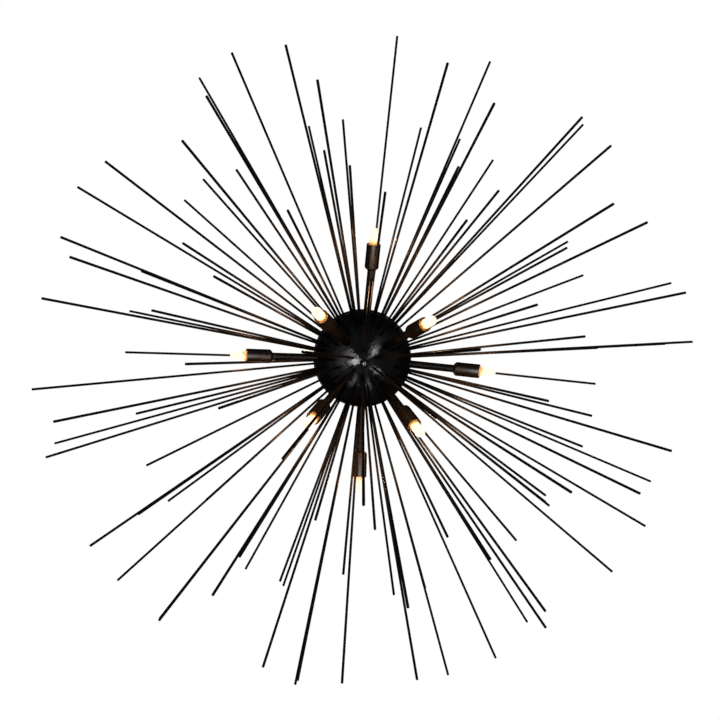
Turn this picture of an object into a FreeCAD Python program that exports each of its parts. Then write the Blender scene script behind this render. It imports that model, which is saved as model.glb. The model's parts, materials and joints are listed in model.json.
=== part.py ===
import FreeCAD, Part
import math
import os

import Sketcher
from FreeCAD import Placement, Rotation, Vector

# A starburst flush mount: a drilled dome, thin straight rods and eight small lamps.
# Millimetres. The origin is the middle of the ceiling plane, +Z is up and the lamp hangs below.

doc = FreeCAD.newDocument("starburst_flush_mount")
sheet = doc.addObject("Spreadsheet::Sheet", "Sizes")

# Driving dimensions
DRIVING = {
    "dome_radius": 77.5,
    "dome_wall": 2.5,
    "skirt_drop": 19.0,
    "rim_flare": 3.0,
    "rod_radius": 1.8,
    "long_reach": 508.0,
    "short_reach": 378.0,
    "fit": 0.1,
    "arm_radius": 6.0,
    "arm_wall": 1.5,
    "arm_tail": 12.0,
    "cup_radius": 11.0,
    "cup_wall": 1.0,
    "cup_back": 149.0,
    "cup_length": 41.0,
    "cup_floor": 4.0,
    "cup_chamfer": 3.5,
    "holder_radius": 9.0,
    "holder_length": 18.0,
    "bulb_gap": 0.4,
    "base_radius": 7.0,
    "base_length": 7.0,
    "pin_radius": 0.5,
    "pin_length": 8.0,
    "pin_half_spacing": 4.5,
    "pin_clearance": 0.4,
    "glass_radius": 7.25,
    "glass_wall": 1.0,
    "bulb_reach": 25.0,
    "stud_radius": 3.0,
    "finial_radius": 7.0,
    "collar_radius": 5.0,
    "finial_drop": 8.5,
    "finial_bore": 9.0,
    "plate_radius": 60.0,
    "plate_thickness": 2.0,
    "slot_half_spacing": 39.7,
    "slot_length": 26.0,
    "slot_radius": 2.4,
    "nut_thickness": 4.0,
    "arm_nut_radius": 9.5,
    "stud_nut_radius": 5.8,
    "screw_radius": 1.5,
    "screw_head_radius": 3.0,
    "screw_head_height": 2.0,
    "ground_offset": 48.0,
    "block_length": 62.0,
    "block_width": 14.0,
    "block_height": 12.0,
    "block_offset": 24.0,
    "block_screw_offset": 27.0,
    "lead_pitch": 6.0,
    "lead_radius": 0.8,
    "lead_half_gap": 1.4,
    "lead_entry": 5.0,
    "lead_bend": 6.0,
    "lead_turn": 40.0,
}

# Dimensions that follow from the driving ones
DERIVED = {
    "dome_inside": "dome_radius - dome_wall",
    "dome_depth": "skirt_drop + dome_radius",
    "dome_inner_depth": "skirt_drop + dome_inside",
    "rim_radius": "dome_radius + rim_flare",
    "rim_inside": "rim_radius - dome_wall",
    "rod_hole_radius": "rod_radius + fit",
    "drill_start": "dome_inside - 2 * dome_wall",
    "drill_length": "5 * dome_wall",
    "long_rod_length": "long_reach - dome_inside",
    "short_rod_length": "short_reach - dome_inside",
    "arm_bore": "arm_radius - arm_wall",
    "arm_hole_radius": "arm_radius + fit",
    "arm_start": "dome_inside - arm_tail",
    "arm_end": "cup_back + cup_floor",
    "cup_shoulder": "cup_back + cup_chamfer",
    "cup_neck_radius": "cup_radius - cup_chamfer",
    "cup_inside": "cup_radius - cup_wall",
    "cup_mouth": "cup_back + cup_length",
    "holder_start": "arm_end + fit",
    "holder_end": "holder_start + holder_length",
    "pin_bore": "pin_radius + pin_clearance",
    "pin_bore_depth": "pin_length + 1",
    "base_start": "holder_end + bulb_gap",
    "base_end": "base_start + base_length",
    "glass_inside": "glass_radius - glass_wall",
    "glass_tip": "cup_mouth + bulb_reach",
    "glass_shoulder": "glass_tip - glass_radius",
    "glass_inner_tip": "glass_tip - glass_wall",
    "stud_hole_radius": "stud_radius + fit",
    "stud_length": "dome_depth + finial_bore - 1",
    "finial_length": "finial_drop + finial_radius",
    "finial_neck": "finial_drop - sqrt(finial_radius^2 - collar_radius^2)",
    "arm_nut_seat": "sqrt(dome_inside^2 - arm_nut_radius^2) - fit",
    "block_top": "plate_thickness + fit",
    "block_bottom": "block_top + block_height",
    "block_half_length": "block_length / 2",
    "block_half_width": "block_width / 2",
    "screw_hole_radius": "screw_radius + fit",
    "screw_length": "plate_thickness + block_height + fit",
    "screw_end": "screw_length + screw_head_height",
    "ground_seat": "plate_thickness + fit",
    "ground_end": "ground_seat + screw_head_height",
    "slot_near": "slot_half_spacing - slot_length / 2 + slot_radius",
    "slot_far": "slot_half_spacing + slot_length / 2 - slot_radius",
    "lead_hole_radius": "lead_radius + fit",
    "lead_hole_depth": "lead_entry + 1",
    "lead_place_1": "lead_pitch / 2",
    "lead_place_2": "lead_pitch * 1.5",
    "lead_place_3": "lead_pitch * 2.5",
    "lead_place_4": "lead_pitch * 3.5",
}

# Drill schedule: tilt below the horizontal, then the bearings of the long and of the short rods, in degrees
ROD_ROWS = (
    (3, (23, 58, 165, 240, 276, 293, 313, 346),
     (6, 38, 122, 182, 192, 202, 222, 257, 284, 303, 330, 339)),
    (14, (30, 40, 66, 75, 102, 129, 139, 164, 176, 212, 247, 356),
     (110, 120, 145, 155, 229, 265, 293)),
    (28, (103, 130, 148, 193, 204, 219, 256, 310, 317, 346),
     (12, 20, 37, 49, 57, 75, 83, 112, 169, 237, 329, 355)),
    (36, (14, 55, 81, 95, 110, 172, 202, 240, 284, 331),
     (35, 196, 215, 259, 294, 306, 351)),
    (43, (23, 53, 232, 260, 294, 324, 353),
     (97, 142, 265)),
    (51, (127, 151),
     (8, 64, 184, 213, 244, 275, 302, 337)),
    (59, (28, 81),
     (88, 111, 169)),
    (76, (96, 145, 268, 337),
     (29, 204)),
)

# Lamps: bearing and tilt of each arm, in degrees
LOW_TILT = 15
HIGH_TILT = 56
LAMPS = (
    (5, LOW_TILT),
    (50, HIGH_TILT - 2),
    (92, LOW_TILT),
    (136, HIGH_TILT),
    (183, LOW_TILT),
    (229, HIGH_TILT + 3),
    (275, LOW_TILT),
    (324, HIGH_TILT),
)

row = 1
for name, value in DRIVING.items():
    sheet.set("A%d" % row, name)
    sheet.set("B%d" % row, str(value))
    sheet.setAlias("B%d" % row, name)
    row += 1
for name, formula in DERIVED.items():
    sheet.set("A%d" % row, name)
    sheet.set("B%d" % row, "=" + formula)
    sheet.setAlias("B%d" % row, name)
    row += 1
doc.recompute()


def size(name):
    """Return a named dimension from the sheet."""
    return float(sheet.get(name))


def outward(bearing, tilt):
    """Return the unit vector that points along a bearing and down by a tilt, both in degrees."""
    turn = math.radians(bearing)
    drop = math.radians(tilt)
    return Vector(math.cos(drop) * math.cos(turn), math.cos(drop) * math.sin(turn), -math.sin(drop))


def datum(body, role):
    """Return a body's own origin plane."""
    for feature in body.Origin.OriginFeatures:
        if feature.Role == role:
            return feature
    raise ValueError(role)


def new_sketch(body, name, role="XY_Plane", height=None):
    """Return a sketch on a body's origin plane, raised by a named dimension."""
    sketch = body.newObject("Sketcher::SketchObject", name)
    sketch.AttachmentSupport = (datum(body, role), [""])
    sketch.MapMode = "FlatFace"
    if height:
        sketch.setExpression("AttachmentOffset.Base.z", "Sizes." + height)
    return sketch


def pin_point(sketch, geometry, end, across, along):
    """Tie one sketch point to two named dimensions.

    None puts the point on the axis, and a minus sign puts it on the far side of the origin.
    """
    for kind, axis, name in (("DistanceX", -2, across), ("DistanceY", -1, along)):
        if name is None:
            sketch.addConstraint(Sketcher.Constraint("PointOnObject", geometry, end, axis))
            continue
        far = name.startswith("-")
        name = name.lstrip("-")
        points = (geometry, end, -1, 1) if far else (-1, 1, geometry, end)
        index = sketch.addConstraint(Sketcher.Constraint(kind, *points, size(name)))
        label = "%s_%d_%d" % (kind, geometry, end)
        sketch.renameConstraint(index, label)
        sketch.setExpression("Constraints." + label, "Sizes." + name)


def signed(name):
    """Return a named dimension, negative for a leading minus sign and zero for None."""
    if name is None:
        return 0.0
    return -size(name[1:]) if name.startswith("-") else size(name)


def set_radius(sketch, geometry, name):
    """Tie the radius of a circle or an arc to a named dimension."""
    index = sketch.addConstraint(Sketcher.Constraint("Radius", geometry, size(name)))
    sketch.renameConstraint(index, "radius_%d" % geometry)
    sketch.setExpression("Constraints.radius_%d" % geometry, "Sizes." + name)


def revolved(label, corners, centres=None):
    """Return a body turned about its Z axis.

    Each corner is a pair of names, radius and height. Centres gives the height of the arc centre
    for each side that is an arc about a point on the axis, by the number of its first corner.
    """
    centres = centres or {}
    body = doc.addObject("PartDesign::Body", label)
    sketch = new_sketch(body, label + "_profile", "XZ_Plane")
    places = [Vector(size(a) if a else 0, size(b) if b else 0, 0) for a, b in corners]
    for index, start in enumerate(places):
        end = places[(index + 1) % len(places)]
        if index not in centres:
            sketch.addGeometry(Part.LineSegment(start, end))
            continue
        middle = Vector(0, size(centres[index]), 0)
        first = math.atan2(start.y - middle.y, start.x)
        last = math.atan2(end.y - middle.y, end.x)
        circle = Part.Circle(middle, Vector(0, 0, 1), (start - middle).Length)
        sketch.addGeometry(Part.ArcOfCircle(circle, min(first, last), max(first, last)))
        pin_point(sketch, index, 3, None, centres[index])
    ends = []
    for index, start in enumerate(places):
        swapped = False
        if index in centres:
            swapped = (sketch.Geometry[index].StartPoint - start).Length > 1e-6
        ends.append((2, 1) if swapped else (1, 2))
    for index, (across, along) in enumerate(corners):
        before = (index - 1) % len(corners)
        joint = (before, ends[before][1], index, ends[index][0])
        sketch.addConstraint(Sketcher.Constraint("Coincident", *joint))
        if across is None and (index in centres or before in centres):
            sketch.addConstraint(Sketcher.Constraint("PointOnObject", index, ends[index][0], -2))
            continue
        pin_point(sketch, index, ends[index][0], across, along)
    turn = body.newObject("PartDesign::Revolution", label + "_turn")
    turn.Profile = sketch
    turn.ReferenceAxis = (sketch, ["V_Axis"])
    turn.Angle = 360
    sketch.Visibility = False
    return body


def circles(sketch, rings):
    """Draw circles on a sketch from three names each: x, y and radius."""
    for across, along, radius in rings:
        middle = Vector(signed(across), signed(along), 0)
        index = sketch.addGeometry(Part.Circle(middle, Vector(0, 0, 1), size(radius)))
        pin_point(sketch, index, 3, across, along)
        set_radius(sketch, index, radius)


def slot(sketch, left, right, radius):
    """Draw a slot along X between two named places on the X axis."""
    ends = (Vector(signed(left), 0, 0), Vector(signed(right), 0, 0))
    rise = Vector(0, size(radius), 0)
    quarter = math.pi / 2
    near = sketch.addGeometry(Part.ArcOfCircle(
        Part.Circle(ends[0], Vector(0, 0, 1), size(radius)), quarter, 3 * quarter))
    low = sketch.addGeometry(Part.LineSegment(ends[0] - rise, ends[1] - rise))
    far = sketch.addGeometry(Part.ArcOfCircle(
        Part.Circle(ends[1], Vector(0, 0, 1), size(radius)), -quarter, quarter))
    high = sketch.addGeometry(Part.LineSegment(ends[1] + rise, ends[0] + rise))
    for arc, name in ((near, left), (far, right)):
        pin_point(sketch, arc, 3, name, None)
        set_radius(sketch, arc, radius)
    for first, second in ((near, low), (low, far), (far, high), (high, near)):
        sketch.addConstraint(Sketcher.Constraint("Tangent", first, 2, second, 1))


def rectangle(sketch, across, along):
    """Draw a rectangle about the origin from its two named half sides."""
    names = ((across, along), ("-" + across, along), ("-" + across, "-" + along), (across, "-" + along))
    corners = [Vector(signed(a), signed(b), 0) for a, b in names]
    for index, start in enumerate(corners):
        sketch.addGeometry(Part.LineSegment(start, corners[(index + 1) % 4]))
    for index, (a, b) in enumerate(names):
        sketch.addConstraint(Sketcher.Constraint("Coincident", index, 2, (index + 1) % 4, 1))
        pin_point(sketch, index, 1, a, b)


def padded(body, label, sketch, length, downward=False):
    """Add a pad of a named length to a body."""
    pad = body.newObject("PartDesign::Pad", label)
    pad.Profile = sketch
    pad.setExpression("Length", "Sizes." + length)
    pad.Reversed = downward
    sketch.Visibility = False
    return pad


def pocketed(body, label, sketch, depth=None, upward=False):
    """Cut a sketch into a body, through all of it where no depth is named."""
    doc.recompute()
    before = body.Shape.Volume
    pocket = body.newObject("PartDesign::Pocket", label)
    pocket.Profile = sketch
    pocket.Reversed = upward
    if depth:
        pocket.setExpression("Length", "Sizes." + depth)
    else:
        pocket.Type = "ThroughAll"
        pocket.Midplane = True
    sketch.Visibility = False
    doc.recompute()
    if body.Shape.Volume > before - 1e-3:
        raise RuntimeError(label + " removed nothing")
    return pocket


def cylinder(label, radius, height, placement):
    """Return a cylinder with named radius and height."""
    solid = doc.addObject("Part::Cylinder", label)
    solid.setExpression("Radius", "Sizes." + radius)
    solid.setExpression("Height", "Sizes." + height)
    solid.Placement = placement
    return solid


def group(label, members):
    """Return a compound of separate solids under one name."""
    compound = doc.addObject("Part::Compound", label)
    compound.Links = members
    return compound


def copy_of(master, label, placement):
    """Return a placed link to a master piece."""
    link = doc.addObject("App::Link", label)
    link.LinkedObject = master
    link.LinkTransform = False
    link.Placement = placement
    return link


pieces = []
centre = Vector(0, 0, -size("skirt_drop"))
downward = Placement(Vector(0, 0, 0), Rotation(Vector(1, 0, 0), 180))


def along(bearing, tilt, distance=0.0):
    """Return the placement whose +Z points out along a bearing and tilt from the dome's centre."""
    axis = outward(bearing, tilt)
    turn = math.radians(bearing)
    side = Vector(-math.sin(turn), math.cos(turn), 0)
    return Placement(centre + axis * distance, Rotation(side, axis.cross(side), axis, "ZXY"))


# Rods, one group for each drilled row, threaded into the wall of the dome
drills = []
for number, (tilt, long_bearings, short_bearings) in enumerate(ROD_ROWS, 1):
    rods = []
    for length, bearings in (("long", long_bearings), ("short", short_bearings)):
        for bearing in bearings:
            tag = "%s_rod_%d_%d" % (length, number, bearing)
            start = along(bearing, tilt, size("dome_inside"))
            rods.append(cylinder(tag, "rod_radius", length + "_rod_length", start))
            drills.append(cylinder(tag + "_drill", "rod_hole_radius", "drill_length",
                                   along(bearing, tilt, size("drill_start"))))
    pieces.append(group("rod_row_%d" % number, rods))

# Dome, turned as a shell and then drilled for the rods, the arms and the stud
shell = revolved(
    "dome_shell",
    (("rim_radius", None), ("dome_radius", "skirt_drop"), (None, "dome_depth"),
     (None, "dome_inner_depth"), ("dome_inside", "skirt_drop"), ("rim_inside", None)),
    {1: "skirt_drop", 3: "skirt_drop"},
)
shell.Placement = downward
for bearing, tilt in LAMPS:
    drills.append(cylinder("arm_drill_%d" % bearing, "arm_hole_radius", "drill_length",
                           along(bearing, tilt, size("drill_start"))))
drills.append(cylinder("stud_drill", "stud_hole_radius", "drill_length", along(0, 90, size("drill_start"))))
dome = doc.addObject("Part::Cut", "dome")
dome.Base = shell
dome.Tool = group("dome_drills", drills)
pieces.append(dome)

# Centre stud, the nut that locks it to the plate, and the ball finial that clamps the dome
pieces.append(cylinder("centre_stud", "stud_radius", "stud_length", downward))
finial = revolved(
    "ball_finial",
    (("stud_hole_radius", None), ("collar_radius", None), ("collar_radius", "finial_neck"),
     (None, "finial_length"), (None, "finial_bore"), ("stud_hole_radius", "finial_bore")),
    {2: "finial_drop"},
)
finial.Placement = Placement(Vector(0, 0, -size("dome_depth")), downward.Rotation)
pieces.append(finial)


def hex_nut(label, radius, bore):
    """Return a hexagon nut standing on its own origin."""
    prism = doc.addObject("Part::Prism", label + "_hexagon")
    prism.Polygon = 6
    prism.setExpression("Circumradius", "Sizes." + radius)
    prism.setExpression("Height", "Sizes.nut_thickness")
    nut = doc.addObject("Part::Cut", label)
    nut.Base = prism
    nut.Tool = cylinder(label + "_bore", bore, "nut_thickness", Placement())
    return nut


stud_nut = hex_nut("stud_nut", "stud_nut_radius", "stud_hole_radius")
stud_nut.Placement = Placement(Vector(0, 0, -size("plate_thickness") - size("fit")), downward.Rotation)
pieces.append(stud_nut)

# Mounting plate with two slots for the screws of the ceiling box
plate = doc.addObject("PartDesign::Body", "mounting_plate")
outline = new_sketch(plate, "plate_outline")
circles(outline, ((None, None, "plate_radius"),))
padded(plate, "plate_blank", outline, "plate_thickness")
holes = new_sketch(plate, "plate_holes")
circles(holes, (
    (None, None, "stud_hole_radius"),
    (None, "ground_offset", "screw_hole_radius"),
    ("block_screw_offset", "block_offset", "screw_hole_radius"),
    ("-block_screw_offset", "block_offset", "screw_hole_radius"),
    ("block_screw_offset", "-block_offset", "screw_hole_radius"),
    ("-block_screw_offset", "-block_offset", "screw_hole_radius"),
))
slot(holes, "slot_near", "slot_far", "slot_radius")
slot(holes, "-slot_far", "-slot_near", "slot_radius")
pocketed(plate, "plate_openings", holes)
plate.Placement = downward
pieces.append(plate)

# Ground screw in the plate
ground = revolved(
    "ground_screw",
    ((None, None), ("screw_radius", None), ("screw_radius", "ground_seat"),
     ("screw_head_radius", "ground_seat"), ("screw_head_radius", "ground_end"), (None, "ground_end")),
)
ground.Placement = Placement(Vector(0, -size("ground_offset"), 0), downward.Rotation)
pieces.append(ground)

# Two terminal blocks under the plate, each with a row of lead holes, and the screws that hold them
LEAD_PLACES = ("lead_place_1", "lead_place_2", "lead_place_3", "lead_place_4")
block_body = doc.addObject("PartDesign::Body", "block_master")
block_outline = new_sketch(block_body, "block_outline", height="block_top")
rectangle(block_outline, "block_half_length", "block_half_width")
padded(block_body, "block_blank", block_outline, "block_height")
screw_holes = new_sketch(block_body, "block_screw_holes", height="block_top")
circles(screw_holes, (("block_screw_offset", None, "screw_hole_radius"),
                      ("-block_screw_offset", None, "screw_hole_radius")))
pocketed(block_body, "block_screw_bores", screw_holes, "block_height", upward=True)
lead_holes = new_sketch(block_body, "block_lead_holes", height="block_bottom")
circles(lead_holes, [(sign + name, None, "lead_hole_radius") for name in LEAD_PLACES for sign in ("", "-")])
pocketed(block_body, "block_lead_bores", lead_holes, "lead_hole_depth")
screw_body = revolved(
    "screw_master",
    ((None, None), ("screw_radius", None), ("screw_radius", "screw_length"),
     ("screw_head_radius", "screw_length"), ("screw_head_radius", "screw_end"), (None, "screw_end")),
)
screws = []
for number, side in enumerate((1, -1), 1):
    middle = Vector(0, side * size("block_offset"), 0)
    pieces.append(copy_of(block_body, "terminal_block_%d" % number, Placement(middle, downward.Rotation)))
    for end in (1, -1):
        place = middle + Vector(end * size("block_screw_offset"), 0, 0)
        tag = "block_screw_%d" % (len(screws) + 1)
        screws.append(copy_of(screw_body, tag, Placement(place, downward.Rotation)))
pieces.append(group("terminal_block_screws", screws))

# One lamp, drawn with its arm along +Z from the dome's centre
arm_body = revolved(
    "arm_master",
    (("arm_bore", "arm_start"), ("arm_radius", "arm_start"), ("arm_radius", "arm_end"),
     ("arm_bore", "arm_end")),
)
cup_body = revolved(
    "cup_master",
    (("arm_hole_radius", "cup_back"), ("cup_neck_radius", "cup_back"), ("cup_radius", "cup_shoulder"),
     ("cup_radius", "cup_mouth"), ("cup_inside", "cup_mouth"), ("cup_inside", "arm_end"),
     ("arm_hole_radius", "arm_end")),
)
holder_body = doc.addObject("PartDesign::Body", "holder_master")
holder_outline = new_sketch(holder_body, "holder_outline", height="holder_start")
circles(holder_outline, ((None, None, "holder_radius"),))
padded(holder_body, "holder_blank", holder_outline, "holder_length")
holder_pins = new_sketch(holder_body, "holder_pin_holes", height="holder_end")
circles(holder_pins, (("pin_half_spacing", None, "pin_bore"), ("-pin_half_spacing", None, "pin_bore")))
pocketed(holder_body, "holder_pin_bores", holder_pins, "pin_bore_depth")
base_body = doc.addObject("PartDesign::Body", "base_master")
base_outline = new_sketch(base_body, "base_outline", height="base_start")
circles(base_outline, ((None, None, "base_radius"),))
padded(base_body, "base_blank", base_outline, "base_length")
base_pins = new_sketch(base_body, "base_pin_outline", height="base_start")
circles(base_pins, (("pin_half_spacing", None, "pin_radius"), ("-pin_half_spacing", None, "pin_radius")))
padded(base_body, "base_pins", base_pins, "pin_length", downward=True)
glass_body = revolved(
    "glass_master",
    (("glass_inside", "base_end"), ("glass_radius", "base_end"), ("glass_radius", "glass_shoulder"),
     (None, "glass_tip"), (None, "glass_inner_tip"), ("glass_inside", "glass_shoulder")),
    {2: "glass_shoulder", 4: "glass_shoulder"},
)
nut_body = hex_nut("arm_nut_master", "arm_nut_radius", "arm_hole_radius")
arm_nuts = []
for number, (bearing, tilt) in enumerate(LAMPS, 1):
    place = along(bearing, tilt)
    for master, label in ((arm_body, "lamp_arm"), (cup_body, "socket_cup"), (holder_body, "lampholder"),
                          (base_body, "bulb_base"), (glass_body, "bulb_glass")):
        pieces.append(copy_of(master, "%s_%d" % (label, number), place))
    seat = along(bearing, tilt, size("arm_nut_seat") - size("nut_thickness"))
    arm_nuts.append(copy_of(nut_body, "arm_nut_%d" % number, seat))
pieces.append(group("arm_locknuts", arm_nuts))


def line(start, end):
    """Return a straight edge."""
    return Part.LineSegment(start, end).toShape()


def lead(points):
    """Return a round lead along points, with every corner rounded to the bend radius."""
    bend = size("lead_bend")
    edges = []
    start = points[0]
    for before, corner, after in zip(points, points[1:], points[2:]):
        back = (before - corner).normalize()
        ahead = (after - corner).normalize()
        half = back.getAngle(ahead) / 2
        first = corner + back * (bend / math.tan(half))
        last = corner + ahead * (bend / math.tan(half))
        middle = corner + (back + ahead).normalize() * (bend / math.sin(half) - bend)
        edges.append(line(start, first))
        edges.append(Part.Arc(first, middle, last).toShape())
        start = last
    edges.append(line(start, points[-1]))
    path = Part.Wire(edges)
    ring = Part.Wire(Part.makeCircle(size("lead_radius"), points[0], points[1] - points[0]))
    solid = path.makePipeShell([ring], True, True)
    expected = math.pi * size("lead_radius") ** 2 * path.Length
    print("lead %.1f mm long, bend radius %.1f, volume %.4f of its section" %
          (path.Length, bend, solid.Volume / expected))
    return solid


# Leads: from each lampholder through the arm and up into a terminal block, live and neutral side by side
BLOCK_ORDER = ((4, 3, 2, 1), (5, 6, 7, 8))
live = []
neutral = []
for side, numbers in zip((1, -1), BLOCK_ORDER):
    for place, number in enumerate(numbers):
        bearing, tilt = LAMPS[number - 1]
        frame = along(bearing, tilt)
        for wires, offset, step in ((live, 1, -0.5), (neutral, -1, 0.5)):
            shift = Vector(offset * size("lead_half_gap"), 0, 0)
            across = (place - 1.5) * 2 + step * side * (-1 if number in (1, 5) else 1)
            entry = Vector(across * size("lead_pitch"), side * size("block_offset"), -size("block_bottom"))
            wires.append(lead([
                frame.multVec(shift + Vector(0, 0, size("holder_start") - size("fit"))),
                frame.multVec(shift + Vector(0, 0, size("lead_turn"))),
                entry + Vector(0, 0, -2 * size("lead_bend")),
                entry + Vector(0, 0, size("lead_entry")),
            ]))
for label, wires in (("live_leads", live), ("neutral_leads", neutral)):
    feature = doc.addObject("Part::Feature", label)
    feature.Shape = Part.makeCompound(wires)
    pieces.append(feature)

# Check every object, then write one file for each piece
doc.recompute()
for item in doc.Objects:
    if "Invalid" in item.State or "Error" in item.State:
        raise RuntimeError("%s is %s" % (item.Label, item.State))
os.makedirs("parts", exist_ok=True)
for item in pieces:
    shape = Part.getShape(item)
    if shape.isNull() or not shape.isValid():
        raise RuntimeError(item.Label + " has no valid shape")
    shape.exportStep("parts/%s.step" % item.Label)
    print("%s: %d solids, %.0f mm3" % (item.Label, len(shape.Solids), shape.Volume))
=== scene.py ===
"""Looks of a starburst flush mount ceiling light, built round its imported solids.

Everything is in metres in the solids' own frame: the origin is the middle of the ceiling plane,
+Z is up and the light hangs below. Rods and lamps all point away from one hub inside the dome.
"""

from __future__ import annotations

import json
import logging
import math
from dataclasses import dataclass
from enum import Enum

import bmesh
import bpy
from mathutils import Matrix, Vector

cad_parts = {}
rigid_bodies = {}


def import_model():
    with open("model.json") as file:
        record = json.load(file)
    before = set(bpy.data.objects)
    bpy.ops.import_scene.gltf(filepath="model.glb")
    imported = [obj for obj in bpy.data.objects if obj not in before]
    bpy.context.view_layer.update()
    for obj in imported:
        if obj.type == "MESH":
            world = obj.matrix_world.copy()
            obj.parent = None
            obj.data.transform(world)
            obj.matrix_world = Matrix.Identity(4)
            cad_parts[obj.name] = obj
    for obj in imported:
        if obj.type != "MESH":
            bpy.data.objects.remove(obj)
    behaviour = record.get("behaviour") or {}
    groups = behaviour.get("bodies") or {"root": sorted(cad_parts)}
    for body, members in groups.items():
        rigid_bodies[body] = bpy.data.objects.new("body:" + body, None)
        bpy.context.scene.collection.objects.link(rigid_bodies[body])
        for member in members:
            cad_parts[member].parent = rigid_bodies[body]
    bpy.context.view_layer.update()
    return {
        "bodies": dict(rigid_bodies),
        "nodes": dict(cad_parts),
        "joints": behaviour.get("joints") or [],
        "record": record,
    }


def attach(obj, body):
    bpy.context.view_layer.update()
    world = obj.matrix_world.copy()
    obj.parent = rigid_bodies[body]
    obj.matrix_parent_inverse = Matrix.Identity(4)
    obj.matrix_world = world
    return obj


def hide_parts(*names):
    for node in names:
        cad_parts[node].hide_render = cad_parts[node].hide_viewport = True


LOG = logging.getLogger("starburst")
Colour = tuple[float, float, float]

HUB = Vector((0.0, 0.0, -0.019))
FIXTURE = "fixture"
LAMP_COUNT = 8
ROD_ROW_COUNT = 8
EDGE = "edge"
GLOW = "glow"
ON_AXIS = 1e-7
SAME_PLACE = 1e-6
SOFT_SHARE = 0.45
SHARP_ANGLE = math.radians(50)
QUARTER_TURN = 0.25


class Slot(Enum):
    """The material slots of the record."""

    ROD = "black_rod"
    METAL = "black_metal"
    ZINC = "zinc_steel"
    PLASTIC = "white_plastic"
    LIVE = "black_insulation"
    NEUTRAL = "white_insulation"
    CERAMIC = "white_ceramic"
    BULB_FOOT = "bulb_ceramic"
    GLASS = "frosted_glass"


def add_object(name: str, data: bpy.types.ID) -> bpy.types.Object:
    """Add an object to the scene.

    Args:
        name: The object's name.
        data: The mesh, light or camera that it shows.

    Returns:
        The new object.
    """
    made = bpy.data.objects.new(name, data)
    bpy.context.scene.collection.objects.link(made)
    return made


# Turned forms


@dataclass(frozen=True)
class Corner:
    """One corner of a turned profile.

    Args:
        along: Distance along the axis.
        radius: Distance from the axis.
        softness: How far back from the corner its rounding starts.
        glow: How brightly a lit surface shines here, from 0 to 1.
    """

    along: float
    radius: float
    softness: float = 0.0
    glow: float = 0.0


@dataclass(frozen=True)
class Ring:
    """One ring of points of a turned form, with how exposed and how bright it is."""

    along: float
    radius: float
    edge: float
    glow: float


def soften(corners: list[Corner], steps: int = 4) -> list[Ring]:
    """Round the corners of a profile.

    Args:
        corners: The profile, in order.
        steps: How many strips each rounding gets.

    Returns:
        The rings of the profile, those on a rounding marked as edges.
    """
    rings: list[Ring] = []
    last = len(corners) - 1
    for place, corner in enumerate(corners):
        here = Vector((corner.along, corner.radius))
        if corner.softness <= 0.0 or place in (0, last):
            rings.append(Ring(corner.along, corner.radius, 0.0, corner.glow))
            continue
        before = Vector((corners[place - 1].along, corners[place - 1].radius)) - here
        after = Vector((corners[place + 1].along, corners[place + 1].radius)) - here
        reach = min(corner.softness, SOFT_SHARE * before.length, SOFT_SHARE * after.length)
        start = here + before.normalized() * reach
        end = here + after.normalized() * reach
        for step in range(steps + 1):
            t = step / steps
            point = start * (1 - t) ** 2 + here * (2 * t * (1 - t)) + end * t**2
            rings.append(Ring(point.x, point.y, math.sin(math.pi * t), corner.glow))
    return rings


def ball_end(centre: float, radius: float, first: float, last: float, steps: int) -> list[Corner]:
    """Return the corners of an arc about a point on the axis.

    Args:
        centre: Where the arc's centre is along the axis.
        radius: The arc's radius.
        first: Angle of the first corner from the axis, in degrees.
        last: Angle of the last corner from the axis, in degrees.
        steps: How many strips the arc gets.

    Returns:
        The corners in order.
    """
    corners = []
    for step in range(steps + 1):
        angle = math.radians(first + (last - first) * step / steps)
        width = max(radius * math.sin(angle), 0.0)
        corners.append(Corner(centre + radius * math.cos(angle), width))
    return corners


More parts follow.
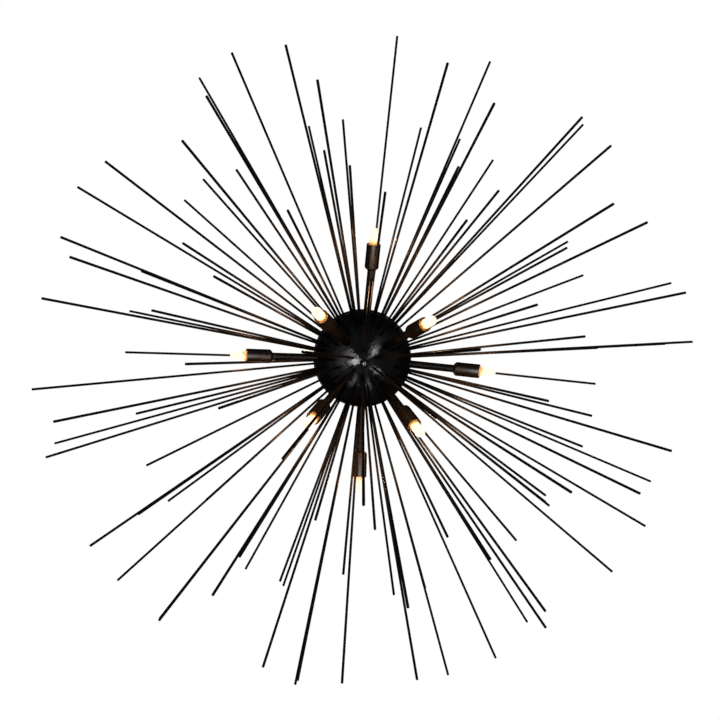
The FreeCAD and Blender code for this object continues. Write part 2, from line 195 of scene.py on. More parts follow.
class Lathe:
    """Collects turned forms in one mesh."""

    def __init__(self, sides: int) -> None:
        """Start an empty mesh whose forms have this many sides."""
        self.sides = sides
        self.mesh = bmesh.new()
        self.edge = self.mesh.verts.layers.float.new(EDGE)
        self.glow = self.mesh.verts.layers.float.new(GLOW)

    def _point(self, position: Vector, ring: Ring) -> bmesh.types.BMVert:
        """Add one point that carries its ring's values.

        Args:
            position: Where the point is.
            ring: The ring that it belongs to.

        Returns:
            The new point.
        """
        vert = self.mesh.verts.new(position)
        vert[self.edge] = ring.edge
        vert[self.glow] = ring.glow
        return vert

    def _loop(self, ring: Ring, placement: Matrix) -> list[bmesh.types.BMVert]:
        """Add the points of one ring, or its single point on the axis.

        Args:
            ring: The ring.
            placement: Where the form's axis starts and how it points.

        Returns:
            The new points, in order.
        """
        if ring.radius < ON_AXIS:
            return [self._point(placement @ Vector((0, 0, ring.along)), ring)]
        loop = []
        for side in range(self.sides):
            angle = 2 * math.pi * side / self.sides
            x, y = ring.radius * math.cos(angle), ring.radius * math.sin(angle)
            loop.append(self._point(placement @ Vector((x, y, ring.along)), ring))
        return loop

    def _strip(self, first: list[bmesh.types.BMVert], second: list[bmesh.types.BMVert]) -> None:
        """Join two rings, either of which may be a single point.

        Args:
            first: The points of one ring.
            second: The points of the next ring.
        """
        for side in range(self.sides):
            following = (side + 1) % self.sides
            if len(first) == 1:
                face = (first[0], second[following], second[side])
            elif len(second) == 1:
                face = (first[side], first[following], second[0])
            else:
                face = (first[side], first[following], second[following], second[side])
            self.mesh.faces.new(face)

    def turn(self, rings: list[Ring], placement: Matrix, closed: bool = False) -> None:
        """Add a form turned round the placement's Z axis.

        Args:
            rings: The profile.
            placement: Where the form's axis starts and how it points.
            closed: Whether the last ring joins the first.
        """
        loops = [self._loop(ring, placement) for ring in rings]
        for first, second in zip(loops, loops[1:]):
            self._strip(first, second)
        if closed:
            self._strip(loops[-1], loops[0])

    def deliver(self, name: str) -> bpy.types.Object:
        """Return the finished object.

        Args:
            name: The piece's name.

        Returns:
            A smooth shaded object, linked to the scene.
        """
        bmesh.ops.recalc_face_normals(self.mesh, faces=self.mesh.faces)
        data = bpy.data.meshes.new(name)
        self.mesh.to_mesh(data)
        self.mesh.free()
        data.shade_smooth()
        data.set_sharp_from_angle(angle=SHARP_ANGLE)
        return add_object(name, data)


def aim(direction: Vector) -> Matrix:
    """Return the placement at the hub whose Z axis has this direction."""
    turn = direction.to_track_quat("Z", "Y").to_matrix().to_4x4()
    return Matrix.Translation(HUB) @ turn


@dataclass(frozen=True)
class Reach:
    """How far a solid lies from the hub along an axis, and its largest radius about it."""

    near: float
    far: float
    radius: float


def reach_of(points: list[Vector], axis: Vector) -> Reach:
    """Measure points about an axis through the hub.

    Args:
        points: The points of a solid.
        axis: A unit vector.

    Returns:
        The nearest and farthest distance along the axis, and the largest radius.
    """
    along = [(point - HUB).dot(axis) for point in points]
    radii = [((point - HUB) - axis * run).length for point, run in zip(points, along)]
    return Reach(min(along), max(along), max(radii))


def points_of(solid: bpy.types.Object) -> list[Vector]:
    """Return a solid's points."""
    return [vert.co.copy() for vert in solid.data.vertices]


# Shader node groups that several finishes share


class Graph:
    """Builds the nodes of one tree."""

    def __init__(self, tree: bpy.types.NodeTree) -> None:
        """Work on a tree."""
        self.tree = tree

    def add(self, kind: str, **settings: object) -> bpy.types.Node:
        """Add a node.

        Args:
            kind: The node's type.
            settings: Attributes of the node.

        Returns:
            The new node.
        """
        node = self.tree.nodes.new(kind)
        for name, value in settings.items():
            setattr(node, name, value)
        return node

    def join(self, source: bpy.types.NodeSocket, target: bpy.types.NodeSocket) -> None:
        """Link two sockets."""
        self.tree.links.new(source, target)

    def feed(self, socket: bpy.types.NodeSocket, value: object) -> None:
        """Link a socket to another one, or set it to a constant.

        Args:
            socket: The input to feed.
            value: An output socket, a number or a colour.
        """
        if isinstance(value, bpy.types.NodeSocket):
            self.join(value, socket)
        else:
            socket.default_value = value

    def math(self, operation: str, first: object, second: object) -> bpy.types.NodeSocket:
        """Add a maths node.

        Args:
            operation: What it does.
            first: A socket or a number.
            second: A socket or a number.

        Returns:
            The result's socket.
        """
        node = self.add("ShaderNodeMath", operation=operation)
        for socket, value in zip(node.inputs, (first, second)):
            self.feed(socket, value)
        return node.outputs[0]

    def ramp(
        self,
        value: bpy.types.NodeSocket,
        low: object,
        high: object,
        out_low: object,
        out_high: object,
    ) -> bpy.types.NodeSocket:
        """Map a range of a value to another range.

        Args:
            value: The value's socket.
            low: Start of the range, a socket or a number.
            high: End of the range.
            out_low: What the start becomes.
            out_high: What the end becomes.

        Returns:
            The result's socket.
        """
        node = self.add("ShaderNodeMapRange")
        self.join(value, node.inputs["Value"])
        names = ("From Min", "From Max", "To Min", "To Max")
        for name, bound in zip(names, (low, high, out_low, out_high)):
            self.feed(node.inputs[name], bound)
        return node.outputs["Result"]

    def blend(
        self, share: bpy.types.NodeSocket, first: bpy.types.NodeSocket, second: bpy.types.NodeSocket
    ) -> bpy.types.NodeSocket:
        """Mix two colours.

        Args:
            share: How much of the second colour.
            first: The first colour's socket.
            second: The second colour's socket.

        Returns:
            The mixed colour's socket.
        """
        node = self.add("ShaderNodeMix", data_type="RGBA")
        self.join(share, node.inputs[0])
        self.join(first, node.inputs[6])
        self.join(second, node.inputs[7])
        return node.outputs[2]

    def noise(
        self, position: bpy.types.NodeSocket, scale: object, detail: float, rough: float = 0.5
    ) -> bpy.types.NodeSocket:
        """Add a noise.

        Args:
            position: The coordinates' socket.
            scale: How fine it is, a socket or a number.
            detail: How many layers it has.
            rough: How strong its fine layers are.

        Returns:
            The noise's value.
        """
        node = self.add("ShaderNodeTexNoise")
        self.join(position, node.inputs["Vector"])
        self.feed(node.inputs["Scale"], scale)
        node.inputs["Detail"].default_value = detail
        node.inputs["Roughness"].default_value = rough
        return node.outputs["Fac"]

    def bump(self, height: bpy.types.NodeSocket, distance: float) -> bpy.types.NodeSocket:
        """Turn a height into normals.

        Args:
            height: The height's socket.
            distance: How far a height of 1 stands out, in metres.

        Returns:
            The normals' socket.
        """
        node = self.add("ShaderNodeBump")
        node.inputs["Strength"].default_value = 1.0
        node.inputs["Distance"].default_value = distance
        self.join(height, node.inputs["Height"])
        return node.outputs["Normal"]


def start_material(name: str) -> tuple[bpy.types.Material, Graph, bpy.types.Node]:
    """Start a material.

    Args:
        name: The material's name.

    Returns:
        The new material, its graph and its surface shader.
    """
    material = bpy.data.materials.new(name)
    material.use_nodes = True
    return material, Graph(material.node_tree), material.node_tree.nodes["Principled BSDF"]


class EffectGroup:
    """A shader node group with named sockets, made once."""

    name = "effect"
    takes: tuple[tuple[str, str], ...] = ()
    gives: tuple[tuple[str, str], ...] = ()

    def tree(self) -> bpy.types.NodeTree:
        """Build the group the first time that it is asked for.

        Returns:
            The group's tree.
        """
        known = bpy.data.node_groups.get(self.name)
        if known:
            return known
        tree = bpy.data.node_groups.new(self.name, "ShaderNodeTree")
        for label, kind in self.takes:
            tree.interface.new_socket(name=label, in_out="INPUT", socket_type=kind)
        for label, kind in self.gives:
            tree.interface.new_socket(name=label, in_out="OUTPUT", socket_type=kind)
        graph = Graph(tree)
        self.build(graph, graph.add("NodeGroupInput"), graph.add("NodeGroupOutput"))
        return tree

    def build(self, graph: Graph, source: bpy.types.Node, target: bpy.types.Node) -> None:
        """Fill the group between its input and output nodes."""
        raise NotImplementedError

    def place(self, graph: Graph, **values: object) -> bpy.types.Node:
        """Put the group in a material.

        Args:
            graph: The material's graph.
            values: A number, colour or socket for each input, by its name with _ for a space.

        Returns:
            The group's node.
        """
        node = graph.add("ShaderNodeGroup", node_tree=self.tree())
        for name, value in values.items():
            graph.feed(node.inputs[name.replace("_", " ")], value)
        return node


class CoatGrain(EffectGroup):
    """The fine texture of a lacquer, plating or glaze: pebbled height, uneven gloss and tone."""

    name = "coat_grain"
    takes = (
        ("Position", "NodeSocketVector"),
        ("Tone", "NodeSocketColor"),
        ("Second Tone", "NodeSocketColor"),
        ("Gloss Low", "NodeSocketFloat"),
        ("Gloss High", "NodeSocketFloat"),
        ("Pebble Scale", "NodeSocketFloat"),
        ("Cloud Scale", "NodeSocketFloat"),
        ("Sag Scale", "NodeSocketFloat"),
        ("Sag", "NodeSocketFloat"),
    )
    gives = (
        ("Color", "NodeSocketColor"),
        ("Roughness", "NodeSocketFloat"),
        ("Height", "NodeSocketFloat"),
    )
    tone_range = (0.32, 0.68)
    gloss_range = (0.35, 0.65)
    cloud_share = 0.7
    pebble_share = 0.3

    def build(self, graph: Graph, source: bpy.types.Node, target: bpy.types.Node) -> None:
        """Fill the group with fine pebbles, broad clouds and the slow waves of a thick coat.

        Args:
            graph: The group's graph.
            source: Its input node.
            target: Its output node.
        """
        taken = source.outputs
        pebble = graph.noise(taken["Position"], taken["Pebble Scale"], detail=3.0, rough=0.55)
        cloud = graph.noise(taken["Position"], taken["Cloud Scale"], detail=4.0, rough=0.6)
        waves = graph.noise(taken["Position"], taken["Sag Scale"], detail=2.0)
        share = graph.ramp(cloud, *self.tone_range, 0.0, 1.0)
        colour = graph.blend(share, taken["Tone"], taken["Second Tone"])
        broad = graph.math("MULTIPLY", cloud, self.cloud_share)
        fine = graph.math("MULTIPLY", pebble, self.pebble_share)
        mixed = graph.math("ADD", broad, fine)
        gloss = graph.ramp(mixed, *self.gloss_range, taken["Gloss Low"], taken["Gloss High"])
        height = graph.math("ADD", pebble, graph.math("MULTIPLY", waves, taken["Sag"]))
        graph.join(colour, target.inputs["Color"])
        graph.join(gloss, target.inputs["Roughness"])
        graph.join(height, target.inputs["Height"])


class EdgeWear(EffectGroup):
    """Broken rubbing along exposed edges, where the base metal starts to show."""

    name = "edge_wear"
    takes = (
        ("Position", "NodeSocketVector"),
        ("Edge", "NodeSocketFloat"),
        ("Amount", "NodeSocketFloat"),
        ("Color", "NodeSocketColor"),
        ("Worn Color", "NodeSocketColor"),
        ("Roughness", "NodeSocketFloat"),
    )
    gives = (("Color", "NodeSocketColor"), ("Roughness", "NodeSocketFloat"))
    chip_scale = 420.0
    chip_range = (0.42, 0.62)
    polish = 0.75

    def build(self, graph: Graph, source: bpy.types.Node, target: bpy.types.Node) -> None:
        """Fill the group with a mask of the edge broken up by noise.

        Args:
            graph: The group's graph.
            source: Its input node.
            target: Its output node.
        """
        taken = source.outputs
        noise = graph.noise(taken["Position"], self.chip_scale, detail=5.0, rough=0.65)
        chips = graph.ramp(noise, *self.chip_range, 0.0, 1.0)
        rubbed = graph.math("MULTIPLY", taken["Edge"], chips)
        mask = graph.math("MULTIPLY", rubbed, taken["Amount"])
        colour = graph.blend(mask, taken["Color"], taken["Worn Color"])
        polished = graph.math("MULTIPLY", taken["Roughness"], self.polish)
        gloss = graph.ramp(mask, 0.0, 1.0, taken["Roughness"], polished)
        graph.join(colour, target.inputs["Color"])
        graph.join(gloss, target.inputs["Roughness"])


# Finishes


@dataclass(frozen=True)
class Finish:
    """An opaque finish: a coat or body with grain, uneven gloss and worn edges.

    Args:
        slot: The record's slot that it dresses.
        tone: Its main colour.
        second_tone: The colour it drifts to.
        gloss: Lowest and highest roughness.
        metallic: 1 for bare metal, less where a thin coat lies on it.
        specular: Strength of a coat's plain reflection.
        rim: Colour of the reflection at a glancing angle.
        pebble_scale: How fine its texture is, per metre.
        cloud_scale: How fine its drift of tone and gloss is, per metre.
        relief: Height of the texture, in metres.
        sag_scale: How close the slow waves of a thick coat are, per metre.
        sag: Height of the waves against the texture.
        spun: How much fine lathe marks round the Z axis stretch its highlights.
        worn_tone: What shows where an edge is rubbed.
        wear: How much the edges are rubbed.
        stretch: Scale of the texture along each axis.
        node: The one node of the slot that it is for, or nothing.
    """

    slot: Slot
    tone: Colour
    second_tone: Colour
    gloss: tuple[float, float]
    metallic: float = 0.0
    specular: float = 0.5
    rim: Colour = (1.0, 1.0, 1.0)
    pebble_scale: float = 1600.0
    cloud_scale: float = 45.0
    relief: float = 0.00004
    sag_scale: float = 70.0
    sag: float = 0.0
    spun: float = 0.0
    worn_tone: Colour = (0.2, 0.2, 0.2)
    wear: float = 0.0
    stretch: tuple[float, float, float] = (1.0, 1.0, 1.0)
    node: str = ""

    def material(self) -> bpy.types.Material:
        """Build the finish's material.

        Returns:
            A material named for its slot, or for the one node that it is for.
        """
        material, graph, shader = start_material(f"{self.node or self.slot.value}_finish")
        shader.inputs["Metallic"].default_value = self.metallic
        shader.inputs["Specular IOR Level"].default_value = self.specular
        shader.inputs["Specular Tint"].default_value = (*self.rim, 1.0)
        if self.spun > 0.0:
            shader.inputs["Anisotropic"].default_value = self.spun
            shader.inputs["Anisotropic Rotation"].default_value = QUARTER_TURN
            around = graph.add("ShaderNodeTangent", direction_type="RADIAL", axis="Z")
            graph.join(around.outputs["Tangent"], shader.inputs["Tangent"])
        place = graph.add("ShaderNodeTexCoord")
        stretch = graph.add("ShaderNodeMapping")
        stretch.inputs["Scale"].default_value = self.stretch
        graph.join(place.outputs["Object"], stretch.inputs["Vector"])
        grain = CoatGrain().place(
            graph,
            Position=stretch.outputs["Vector"],
            Tone=(*self.tone, 1.0),
            Second_Tone=(*self.second_tone, 1.0),
            Gloss_Low=self.gloss[0],
            Gloss_High=self.gloss[1],
            Pebble_Scale=self.pebble_scale,
            Cloud_Scale=self.cloud_scale,
            Sag_Scale=self.sag_scale,
            Sag=self.sag,
        )
        exposed = graph.add("ShaderNodeAttribute", attribute_name=EDGE)
        worn = EdgeWear().place(
            graph,
            Position=place.outputs["Object"],
            Edge=exposed.outputs["Fac"],
            Amount=self.wear,
            Color=grain.outputs["Color"],
            Worn_Color=(*self.worn_tone, 1.0),
            Roughness=grain.outputs["Roughness"],
        )
        graph.join(worn.outputs["Color"], shader.inputs["Base Color"])
        graph.join(worn.outputs["Roughness"], shader.inputs["Roughness"])
        graph.join(graph.bump(grain.outputs["Height"], self.relief), shader.inputs["Normal"])
        return material


@dataclass(frozen=True)
class LitGlass:
    """Frosted glass round a burning lamp: deep orange in the cup's mouth, creamy white above it.

    Args:
        slot: The record's slot that it dresses.
        node: Empty, since it dresses every node of its slot.
        body: The glass's own colour.
        ember: Light deep in the cup.
        amber: Light at the cup's mouth.
        honey: Light just above the mouth.
        flame: Light round the burner.
        stops: Height in the glow at which each of those colours is reached.
        roughness: How frosted it is.
        index: How strongly it bends light.
        mottle_scale: How fine the mottling of its glow is, per metre.
        mottle_range: The part of the mottling's noise that changes the glow.
        mottle: How far the mottling lowers and raises the glow.
        frost_scale: How fine its frosting is, per metre.
        frost: Height of the frosting, in metres.
    """

    slot: Slot = Slot.GLASS
    node: str = ""
    body: Colour = (0.36, 0.26, 0.12)
    ember: Colour = (0.40, 0.11, 0.008)
    amber: Colour = (0.68, 0.27, 0.03)
    honey: Colour = (0.76, 0.68, 0.48)
    flame: Colour = (0.78, 0.80, 0.80)
    stops: tuple[float, ...] = (0.0, 0.3, 0.6, 1.0)
    roughness: float = 0.42
    index: float = 1.46
    mottle_scale: float = 340.0
    mottle_range: tuple[float, float] = (0.35, 0.6)
    mottle: tuple[float, float] = (-0.36, 0.14)
    frost_scale: float = 2600.0
    frost: float = 0.00003

    def material(self) -> bpy.types.Material:
        """Build the glass's material.

        Returns:
            A material named for its slot.
        """
        material, graph, shader = start_material(f"{self.slot.value}_finish")
        shader.inputs["Base Color"].default_value = (*self.body, 1.0)
        shader.inputs["Roughness"].default_value = self.roughness
        shader.inputs["IOR"].default_value = self.index
        colours = (self.ember, self.amber, self.honey, self.flame)
        strength = max(max(colour) for colour in colours)
        shader.inputs["Emission Strength"].default_value = strength
        rise = graph.add("ShaderNodeAttribute", attribute_name=GLOW)
        place = graph.add("ShaderNodeTexCoord")
        cloud = graph.noise(place.outputs["Object"], self.mottle_scale, detail=3.0)
        mottle = graph.ramp(cloud, *self.mottle_range, *self.mottle)
        drift = graph.math("ADD", rise.outputs["Fac"], mottle)
        light = graph.add("ShaderNodeValToRGB")
        stops = light.color_ramp.elements
        while len(stops) < len(colours):
            stops.new(0.5)
        for stop, height, colour in zip(stops, self.stops, colours):
            stop.position = height
            stop.color = (*(channel / strength for channel in colour), 1.0)
        graph.join(drift, light.inputs["Fac"])
        graph.join(light.outputs["Color"], shader.inputs["Emission Color"])
        frosting = graph.noise(place.outputs["Object"], self.frost_scale, detail=2.0)
        graph.join(graph.bump(frosting, self.frost), shader.inputs["Normal"])
        return material


FINISHES: tuple[Finish, ...] = (
    Finish(
        Slot.ROD,
        tone=(0.0036, 0.0035, 0.0035),
        second_tone=(0.0060, 0.0057, 0.0056),
        gloss=(0.28, 0.38),
        metallic=0.65,
        specular=0.0,
        rim=(0.28, 0.28, 0.28),
        pebble_scale=1900.0,
        cloud_scale=30.0,
        relief=0.000002,
        worn_tone=(0.05, 0.045, 0.04),
        wear=0.5,
    ),
    Finish(
        Slot.METAL,
        tone=(0.0042, 0.0037, 0.0034),
        second_tone=(0.0068, 0.0058, 0.0052),
        gloss=(0.26, 0.36),
        metallic=0.6,
        specular=0.0,
        rim=(0.14, 0.10, 0.08),
        pebble_scale=1500.0,
        cloud_scale=38.0,
        relief=0.000005,
        worn_tone=(0.06, 0.055, 0.05),
        wear=0.45,
    ),
    Finish(
        Slot.METAL,
        tone=(0.0043, 0.0042, 0.0045),
        second_tone=(0.0067, 0.0065, 0.0068),
        gloss=(0.17, 0.25),
        metallic=0.5,
        specular=0.0,
        rim=(0.08, 0.08, 0.08),
        pebble_scale=1500.0,
        cloud_scale=38.0,
        relief=0.000006,
        sag_scale=75.0,
        sag=150.0,
        spun=0.9,
        node="dome",
    ),
    Finish(
        Slot.METAL,
        tone=(0.0160, 0.0160, 0.0168),
        second_tone=(0.0200, 0.0198, 0.0202),
        gloss=(0.06, 0.09),
        metallic=0.6,
        specular=0.0,
        rim=(0.10, 0.10, 0.10),
        pebble_scale=1500.0,
        relief=0.000004,
        node="ball_finial",
    ),
    Finish(
        Slot.ZINC,
        tone=(0.56, 0.57, 0.59),
        second_tone=(0.46, 0.48, 0.52),
        gloss=(0.24, 0.42),
        metallic=1.0,
        pebble_scale=900.0,
        cloud_scale=120.0,
        relief=0.00002,
        stretch=(1.0, 9.0, 1.0),
    ),
    Finish(
        Slot.PLASTIC,
        tone=(0.76, 0.75, 0.71),
        second_tone=(0.70, 0.69, 0.64),
        gloss=(0.38, 0.52),
        pebble_scale=1300.0,
        cloud_scale=60.0,
        relief=0.00003,
    ),
    Finish(
        Slot.LIVE,
        tone=(0.02, 0.02, 0.02),
        second_tone=(0.032, 0.031, 0.03),
        gloss=(0.4, 0.55),
        pebble_scale=2400.0,
        cloud_scale=90.0,
        relief=0.00002,
    ),
    Finish(
        Slot.NEUTRAL,
        tone=(0.78, 0.77, 0.74),
        second_tone=(0.71, 0.70, 0.66),
        gloss=(0.4, 0.55),
        pebble_scale=2400.0,
        cloud_scale=90.0,
        relief=0.00002,
    ),
    Finish(
        Slot.CERAMIC,
        tone=(0.80, 0.78, 0.73),
        second_tone=(0.72, 0.69, 0.62),
        gloss=(0.45, 0.7),
        pebble_scale=1800.0,
        cloud_scale=150.0,
        relief=0.00005,
    ),
    Finish(
        Slot.BULB_FOOT,
        tone=(0.78, 0.75, 0.69),
        second_tone=(0.68, 0.64, 0.56),
        gloss=(0.5, 0.75),
        pebble_scale=2000.0,
        cloud_scale=170.0,
        relief=0.00005,
    ),
)


class Palette:
    """The materials of every slot."""

    def __init__(self) -> None:
        """Build every finish once."""
        self.by_name: dict[str, bpy.types.Material] = {}
        for finish in (*FINISHES, LitGlass()):
            self.by_name[finish.node or finish.slot.value] = finish.material()

    def dress(self, piece: bpy.types.Object, slot: Slot) -> None:
        """Give a new piece the finish of a slot."""
        piece.data.materials.append(self.by_name[slot.value])

    def dress_solids(self, frame: dict, slots: dict[str, str]) -> None:
        """Give every solid that stays in view its slot's finish.

        Args:
            frame: The loaded frame.
            slots: Slot of each node.
        """
        for name, solid in frame["nodes"].items():
            finish = self.by_name.get(name, self.by_name[slots[name]])
            if not solid.material_slots:
                solid.data.materials.append(finish)
            for holder in solid.material_slots:
                holder.material = finish


# Sub-assemblies


@dataclass
class RodRow:
    """One drilled row of rods, each with a softened end.

    Args:
        number: The row's number.
        sides: Sides of a rod.
        end_softness: Size of the rounding at a rod's end.
    """

    number: int
    sides: int = 24
    end_softness: float = 0.0006

    @property
    def node(self) -> str:
        """Name of the row's solids."""
        return f"rod_row_{self.number}"

    def islands(self, solid: bpy.types.Object) -> list[list[Vector]]:
        """Return the points of each rod of the row.

        Args:
            solid: The row's solids.

        Returns:
            One list of points for each rod.
        """
        builder = bmesh.new()
        builder.from_mesh(solid.data)
        bmesh.ops.remove_doubles(builder, verts=builder.verts, dist=SAME_PLACE)
        waiting = set(builder.verts)
        rods = []
        while waiting:
            front = [waiting.pop()]
            members = []
            while front:
                vert = front.pop()
                members.append(vert.co.copy())
                for edge in vert.link_edges:
                    other = edge.other_vert(vert)
                    if other in waiting:
                        waiting.remove(other)
                        front.append(other)
            rods.append(members)
        builder.free()
        return rods

    def build(self, frame: dict, palette: Palette) -> bpy.types.Object:
        """Build the row in place of its solids.

        Args:
            frame: The loaded frame.
            palette: The finishes.

        Returns:
            The row's piece.
        """
        lathe = Lathe(self.sides)
        rods = self.islands(frame["nodes"][self.node])
        for members in rods:
            middle = sum((point - HUB for point in members), Vector()) / len(members)
            axis = middle.normalized()
            size = reach_of(members, axis)
            corners = [
                Corner(size.near, 0.0),
                Corner(size.near, size.radius),
                Corner(size.far, size.radius, self.end_softness),
                Corner(size.far, 0.0),
            ]
            lathe.turn(soften(corners), aim(axis))
        piece = lathe.deliver(f"rods_{self.number}")
        palette.dress(piece, Slot.ROD)
        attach(piece, FIXTURE)
        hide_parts(self.node)
        LOG.info("%s: %d rods", piece.name, len(rods))
        return piece


@dataclass
class Lamp:
    """One lamp: a cup with a chamfered shoulder on its arm, and a lit capsule bulb.

    Args:
        number: The lamp's number.
        sides: Sides of its turned pieces.
        cup_wall: Thickness of the cup's wall.
        cup_floor: Thickness of the cup's floor.
        chamfer: Size of the cup's shoulder.
        shoulder_softness: Rounding of the shoulder's corners.
        lip_softness: Rounding of the mouth's corners.
        foot_softness: Rounding of the glass where it leaves its foot.
        arm_clearance: Gap between the cup's hole and its arm.
        tip_strips: Strips of the glass's round tip.
        glow_start: How far below the cup's mouth the glass starts to glow.
        glow_steps: Heights above the cup's mouth, and how brightly the glass shines there.
        burner_power: Power of the light in the bulb.
        burner_radius: Size of the light in the bulb.
        burner_colour: Colour of the light in the bulb.
    """

    number: int
    sides: int = 48
    cup_wall: float = 0.001
    cup_floor: float = 0.004
    chamfer: float = 0.0035
    shoulder_softness: float = 0.0009
    lip_softness: float = 0.00035
    foot_softness: float = 0.0025
    arm_clearance: float = 0.0001
    tip_strips: int = 12
    glow_start: float = 0.003
    glow_steps: tuple[tuple[float, float], ...] = (
        (0.0, 0.3),
        (0.003, 0.5),
        (0.006, 0.72),
        (0.010, 1.0),
    )
    burner_power: float = 2.0
    burner_radius: float = 0.006
    burner_colour: Colour = (1.0, 0.49, 0.22)

    def axis(self, frame: dict) -> Vector:
        """Find the direction in which the bulb pulls out.

        Args:
            frame: The loaded frame.

        Returns:
            A unit vector.
        """
        for joint in frame["joints"]:
            if joint["child"] == f"bulb_{self.number}":
                return Vector(joint["axis"]).normalized()
        raise LookupError(f"bulb_{self.number} has no joint")

    def build_cup(self, frame: dict, palette: Palette, axis: Vector) -> bpy.types.Object:
        """Build the cup.

        Args:
            frame: The loaded frame.
            palette: The finishes.
            axis: The lamp's direction.

        Returns:
            The cup's piece.
        """
        node = f"socket_cup_{self.number}"
        cup = reach_of(points_of(frame["nodes"][node]), axis)
        arm = reach_of(points_of(frame["nodes"][f"lamp_arm_{self.number}"]), axis)
        hole = arm.radius + self.arm_clearance
        inside = cup.radius - self.cup_wall
        floor = cup.near + self.cup_floor
        corners = [
            Corner(cup.near, hole),
            Corner(cup.near, cup.radius - self.chamfer, self.lip_softness),
            Corner(cup.near + self.chamfer, cup.radius, self.shoulder_softness),
            Corner(cup.far, cup.radius, self.lip_softness),
            Corner(cup.far, inside, self.lip_softness),
            Corner(floor, inside, self.shoulder_softness),
            Corner(floor, hole),
        ]
        lathe = Lathe(self.sides)
        lathe.turn(soften(corners), aim(axis), closed=True)
        piece = lathe.deliver(f"cup_{self.number}")
        palette.dress(piece, Slot.METAL)
        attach(piece, FIXTURE)
        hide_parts(node)
        return piece

    def build_glass(self, frame: dict, palette: Palette, axis: Vector) -> bpy.types.Object:
        """Build the bulb's frosted capsule.

        Args:
            frame: The loaded frame.
            palette: The finishes.
            axis: The lamp's direction.

        Returns:
            The capsule's piece.
        """
        node = f"bulb_glass_{self.number}"
        glass = reach_of(points_of(frame["nodes"][node]), axis)
        mouth = reach_of(points_of(frame["nodes"][f"socket_cup_{self.number}"]), axis).far
        shoulder = glass.far - glass.radius
        corners = [
            Corner(glass.near, 0.0),
            Corner(glass.near, glass.radius, self.foot_softness),
            Corner(mouth - self.glow_start, glass.radius),
        ]
        corners += [Corner(mouth + up, glass.radius, 0.0, glow) for up, glow in self.glow_steps]
        tip = ball_end(shoulder, glass.radius, 90.0, 0.0, self.tip_strips)
        corners += [Corner(spot.along, spot.radius, 0.0, 1.0) for spot in tip]
        lathe = Lathe(self.sides)
        lathe.turn(soften(corners), aim(axis))
        piece = lathe.deliver(f"capsule_{self.number}")
        palette.dress(piece, Slot.GLASS)
        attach(piece, f"bulb_{self.number}")
        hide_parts(node)
        self.light_burner(piece, HUB + axis * (0.5 * (mouth + glass.far)))
        return piece

    def light_burner(self, piece: bpy.types.Object, spot: Vector) -> bpy.types.Object:
        """Light the burner inside the capsule, which lets its light out.

        Args:
            piece: The capsule.
            spot: Where the burner is.

        Returns:
            The light, which moves with the capsule.
        """
        piece.visible_shadow = False
        light = bpy.data.lights.new(f"burner_{self.number}", "POINT")
        light.energy = self.burner_power
        light.color = self.burner_colour
        light.shadow_soft_size = self.burner_radius
        burner = add_object(light.name, light)
        burner.location = spot
        burner.visible_camera = False
        bpy.context.view_layer.update()
        burner.parent = piece
        burner.matrix_parent_inverse = piece.matrix_world.inverted()
        return burner

    def build(self, frame: dict, palette: Palette) -> bpy.types.Object:
        """Build the lamp's pieces in place of their solids.

        Args:
            frame: The loaded frame.
            palette: The finishes.

        Returns:
            The cup.
        """
        axis = self.axis(frame)
        cup = self.build_cup(frame, palette, axis)
        glass = self.build_glass(frame, palette, axis)
        for piece in (cup, glass):
            LOG.info("%s: %d faces", piece.name, len(piece.data.polygons))
        return cup


# Setting


@dataclass(frozen=True)
class Panel:
    """A soft round lamp of the setting, turned to the hub.

    Args:
        spot: Where it hangs, in metres.
        size: Its width, in metres.
        power: Its power, in watts.
    """

    spot: tuple[float, float, float]
    size: float
    power: float

    def hang(self, name: str) -> bpy.types.Object:
        """Hang the lamp.

        Args:
            name: The lamp's name.

        Returns:
            The lamp, which the camera doesn't see.
        """
        light = bpy.data.lights.new(name, "AREA")
        light.shape = "DISK"
        light.size = self.size
        light.energy = self.power
        lamp = add_object(name, light)
        lamp.location = self.spot
        lamp.visible_camera = False
        lamp.rotation_euler = (HUB - Vector(self.spot)).to_track_quat("-Z", "Y").to_euler()
        return lamp


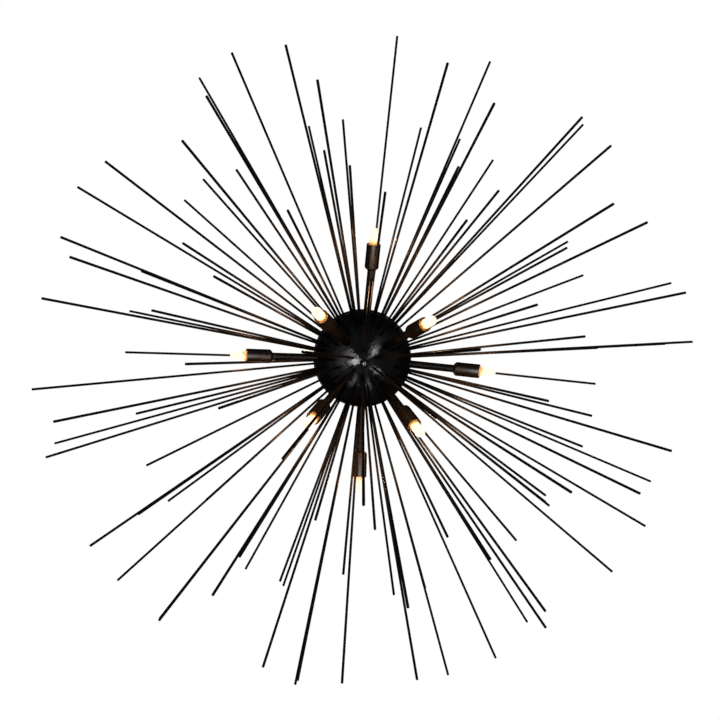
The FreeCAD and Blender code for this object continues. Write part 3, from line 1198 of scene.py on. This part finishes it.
@dataclass(frozen=True)
class Studio:
    """A pale floor under the light, a white surround and soft lamps.

    Args:
        floor_height: Where the floor is.
        floor_radius: Size of the floor.
        floor_sides: Number of sides of the floor's disc.
        floor_colour: Colour of the floor.
        floor_roughness: How dull the floor is.
        fill: Strength of the surround's light.
        catch_panels: The lamps that only the gloss of dome and finial shows.
        sheen_panel: The broad lamp that only the gloss of arms and cups shows.
        streak_panel: The lamp that only the gloss of the outer cups shows.
        key_panel: The lamp above.
    """

    floor_height: float = -2.6
    floor_radius: float = 300.0
    floor_sides: int = 128
    floor_colour: Colour = (0.88, 0.88, 0.87)
    floor_roughness: float = 0.8
    fill: float = 0.85
    catch_panels: tuple[Panel, ...] = (
        Panel((0.85, -0.78, -1.85), 0.45, 100.0),
        Panel((-0.66, 0.10, -1.95), 0.50, 190.0),
        Panel((-0.85, -0.46, -1.85), 0.35, 33.0),
        Panel((1.05, 0.76, -1.68), 0.40, 52.0),
        Panel((0.30, 1.60, -1.15), 0.55, 40.0),
        Panel((-0.62, 1.40, -1.25), 0.45, 25.0),
        Panel((0.05, 0.15, -2.40), 1.90, 20.0),
    )
    sheen_panel: Panel = Panel((0.05, 0.15, -2.40), 3.40, 340.0)
    streak_panel: Panel = Panel((0.05, 0.15, -2.40), 1.30, 760.0)
    key_panel: Panel = Panel((-0.6, -0.9, 1.9), 1.2, 6.0)

    def build_floor(self) -> bpy.types.Object:
        """Build the floor.

        Returns:
            The floor.
        """
        builder = bmesh.new()
        place = Matrix.Translation((0.0, 0.0, self.floor_height))
        bmesh.ops.create_circle(
            builder,
            cap_ends=True,
            segments=self.floor_sides,
            radius=self.floor_radius,
            matrix=place,
        )
        data = bpy.data.meshes.new("floor")
        builder.to_mesh(data)
        builder.free()
        floor = add_object("floor", data)
        material, _, shader = start_material("floor_paint")
        shader.inputs["Base Color"].default_value = (*self.floor_colour, 1.0)
        shader.inputs["Roughness"].default_value = self.floor_roughness
        floor.data.materials.append(material)
        return floor

    def build_surround(self) -> bpy.types.World:
        """Build the surround: white to look at and in reflections, softer as a light.

        Returns:
            The world.
        """
        world = bpy.data.worlds.new("surround")
        world.use_nodes = True
        graph = Graph(world.node_tree)
        back = world.node_tree.nodes["Background"]
        back.inputs["Color"].default_value = (1.0, 1.0, 1.0, 1.0)
        path = graph.add("ShaderNodeLightPath")
        seen = graph.math("MAXIMUM", path.outputs["Is Camera Ray"], path.outputs["Is Glossy Ray"])
        seen = graph.math("MAXIMUM", seen, path.outputs["Is Transmission Ray"])
        graph.join(graph.ramp(seen, 0.0, 1.0, self.fill, 1.0), back.inputs["Strength"])
        bpy.context.scene.world = world
        return world

    def keep_to(
        self, lamps: list[bpy.types.Object], pieces: list[bpy.types.Object], name: str
    ) -> None:
        """Let lamps shine only on the gloss of some pieces.

        Args:
            lamps: The lamps.
            pieces: The pieces.
            name: Name of the group of pieces.
        """
        group = bpy.data.collections.new(name)
        for piece in pieces:
            group.objects.link(piece)
        for lamp in lamps:
            lamp.visible_diffuse = False
            lamp.light_linking.receiver_collection = group

    def build_panels(
        self,
        dome: list[bpy.types.Object],
        lamps: list[bpy.types.Object],
        outer: list[bpy.types.Object],
    ) -> None:
        """Hang the soft lamps.

        Args:
            dome: The dome and its finial.
            lamps: The arms and cups.
            outer: The cups of the four outer lamps.
        """
        self.key_panel.hang("key_panel")
        catch = [
            panel.hang(f"catch_panel_{number}")
            for number, panel in enumerate(self.catch_panels, 1)
        ]
        self.keep_to(catch, dome, "caught")
        self.keep_to([self.sheen_panel.hang("sheen_panel")], lamps, "sheened")
        self.keep_to([self.streak_panel.hang("streak_panel")], outer, "streaked")

    def build(
        self,
        dome: list[bpy.types.Object],
        lamps: list[bpy.types.Object],
        outer: list[bpy.types.Object],
    ) -> None:
        """Build the whole setting.

        Args:
            dome: The dome and its finial.
            lamps: The arms and cups.
            outer: The cups of the four outer lamps.
        """
        self.build_floor()
        self.build_surround()
        self.build_panels(dome, lamps, outer)


@dataclass
class PhotoCamera:
    """The camera below the light, a little off its axis.

    Args:
        distance: From the hub.
        lean: How far it stands towards -Y, in degrees.
        swing: How far it stands towards -X, in degrees.
        lens: Focal length, in millimetres.
        sensor: Width of the sensor, in millimetres.
        shift: Lens shift that sets the hub in the frame.
    """

    distance: float = 1.486
    lean: float = 4.39
    swing: float = 1.62
    lens: float = 45.85
    sensor: float = 36.0
    shift: tuple[float, float] = (-0.0036, -0.0013)

    def build(self) -> bpy.types.Object:
        """Place the camera.

        Returns:
            The scene's camera.
        """
        lean, swing = math.radians(self.lean), math.radians(self.swing)
        right = Vector((math.cos(swing), 0.0, -math.sin(swing)))
        back = Vector(
            (-math.cos(lean) * math.sin(swing), -math.sin(lean), -math.cos(lean) * math.cos(swing))
        )
        up = back.cross(right)
        data = bpy.data.cameras.new("photo_camera")
        data.lens = self.lens
        data.sensor_width = self.sensor
        data.shift_x, data.shift_y = self.shift
        camera = add_object("photo_camera", data)
        turn = Matrix((right, up, back)).transposed().to_4x4()
        camera.matrix_world = Matrix.Translation(HUB + back * self.distance) @ turn
        bpy.context.scene.camera = camera
        return camera


def slots_of(frame: dict) -> dict[str, str]:
    """Return the material slot of each node, as its packed material names it.

    Args:
        frame: The loaded frame.

    Returns:
        Slot name by node name.
    """
    known = {slot.value for slot in Slot}
    found = {}
    for name, solid in frame["nodes"].items():
        label = solid.material_slots[0].material.name.split(".")[0]
        if label not in known:
            raise LookupError(f"{name} has the unknown slot {label}")
        found[name] = label
    return found


def main() -> None:
    """Load the frame, dress it and set up the studio and camera."""
    logging.basicConfig(level=logging.INFO, format="%(message)s")
    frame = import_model()
    bpy.context.scene.view_settings.view_transform = "Standard"
    slots = slots_of(frame)
    palette = Palette()
    palette.dress_solids(frame, slots)
    for number in range(1, ROD_ROW_COUNT + 1):
        RodRow(number).build(frame, palette)
    cups = [Lamp(number).build(frame, palette) for number in range(1, LAMP_COUNT + 1)]
    arms = [frame["nodes"][f"lamp_arm_{number}"] for number in range(1, LAMP_COUNT + 1)]
    dome = [frame["nodes"][name] for name in ("dome", "ball_finial")]
    Studio().build(dome, arms + cups, outer=cups[::2])
    PhotoCamera().build()


if __name__ == "__main__":
    main()
